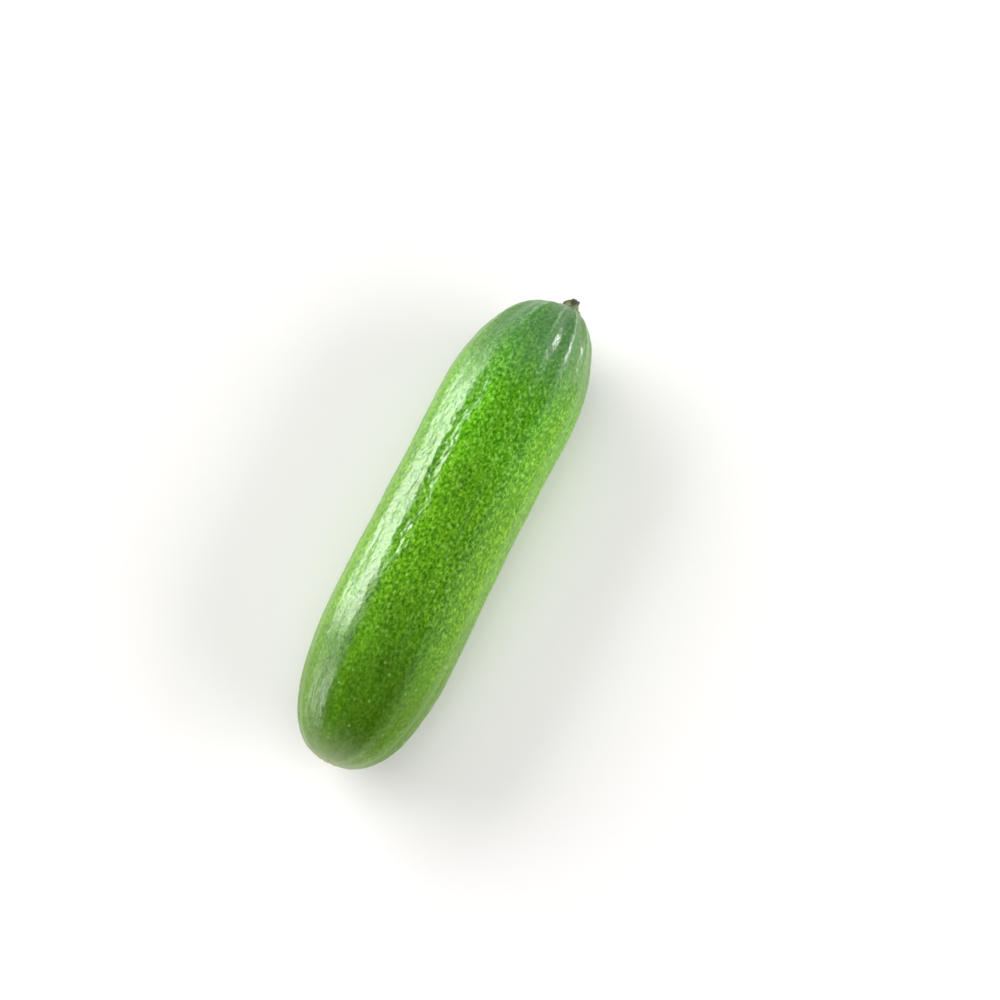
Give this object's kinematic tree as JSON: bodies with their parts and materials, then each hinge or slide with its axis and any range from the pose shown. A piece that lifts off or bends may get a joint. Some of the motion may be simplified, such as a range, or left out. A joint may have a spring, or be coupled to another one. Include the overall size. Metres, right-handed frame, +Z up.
{
  "type": "baby cucumber",
  "caption": "Whole baby cucumber with a short cut stem, smooth and faintly ribbed, lying on its side on a narrow flat spot.",
  "frame": {"origin": "below the middle of the whole object, on the plane it rests on", "axes": "+X along the fruit from its blossom end to its stem end, +Z up, +Y to the side that the body bows to"},
  "size_m": [0.116, 0.0304, 0.0298],
  "materials": {
    "skin": "waxy gloss, mottled green, darker at the stem end and pale tan at the blossom scar",
    "cut_stem": "matt, fibrous, olive with a brown cut"
  },
  "bodies": {
    "root": {"fruit": "skin", "stem_stub": "cut_stem"}
  },
  "joints": []
}
